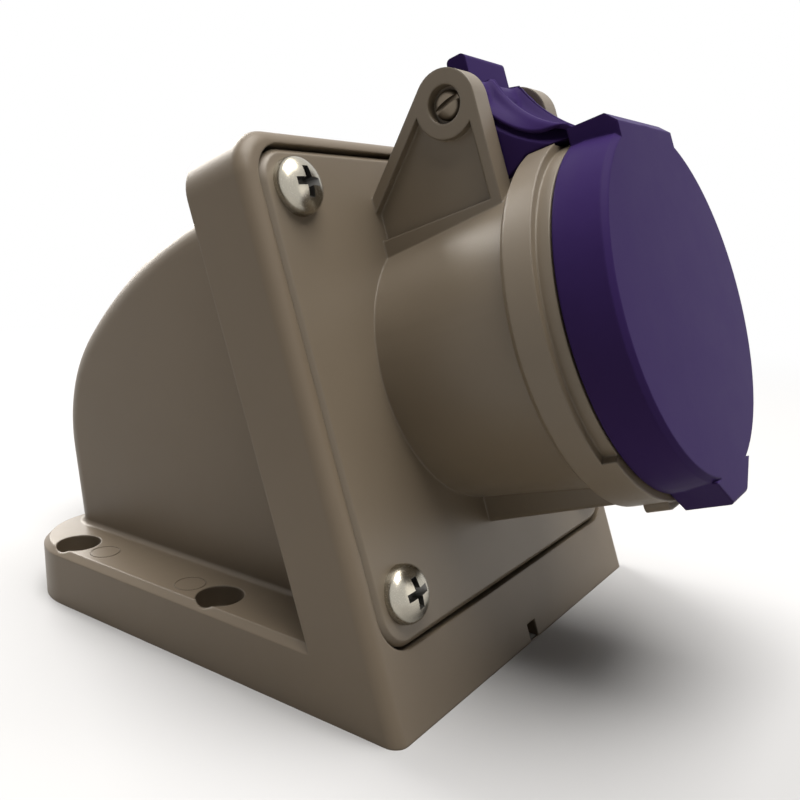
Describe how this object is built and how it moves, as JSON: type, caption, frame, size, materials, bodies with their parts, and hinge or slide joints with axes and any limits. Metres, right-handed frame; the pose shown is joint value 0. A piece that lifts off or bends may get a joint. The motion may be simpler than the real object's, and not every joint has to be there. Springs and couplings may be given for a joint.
{
  "type": "industrial panel socket",
  "caption": "Angled surface-mount industrial power socket: plate with round shrouded inlet, sprung hinged cover, screw mounting flange and rear cable gland.",
  "frame": {"origin": "on the wall plane, midway between the four mounting holes", "axes": "+Z away from the wall, +X to the right of someone facing the lid, +Y up the wall towards the cable gland; the lid faces -Y and leans back"},
  "size_m": [0.09, 0.1524, 0.1052],
  "materials": {
    "housing": "semi-gloss moulded",
    "body": "semi-gloss moulded",
    "lid": "semi-gloss moulded",
    "seal": "soft rubber",
    "zinc": "bright zinc plate",
    "pin": "plain steel",
    "spring": "drawn wire",
    "brass": "turned",
    "contact": "nickel plated",
    "carrier": "moulded",
    "gland": "moulded nylon"
  },
  "bodies": {
    "housing": {"box": "housing", "socket_body": "body", "hinge_pin": "pin", "pin_clip": "spring", "hinge_spring": "spring", "panel_gasket": "seal", "plate_screws": "zinc", "threaded_inserts": "brass", "contact_carrier": "carrier", "carrier_back": "carrier", "line_contact": "contact", "neutral_contact": "contact", "earth_contact": "contact", "terminal_screws": "zinc", "sleeve_rings": "spring", "carrier_screws": "zinc", "back_screw": "zinc", "gland_washer": "seal", "gland_body": "gland", "gland_seal": "seal", "gland_nut": "gland", "gland_locknut": "gland"},
    "cover": {"lid": "lid", "lid_gasket": "seal"}
  },
  "joints": [
    {"name": "cover_hinge", "type": "hinge", "parent": "housing", "child": "cover", "pos_m": [0, -0.04889, 0.0961], "axis": [-1, 0, 0], "range_deg": [0, 110], "stiffness_Nm_per_rad": 0.02, "springref_deg": -85.94, "deforming": ["hinge_spring"]}
  ]
}
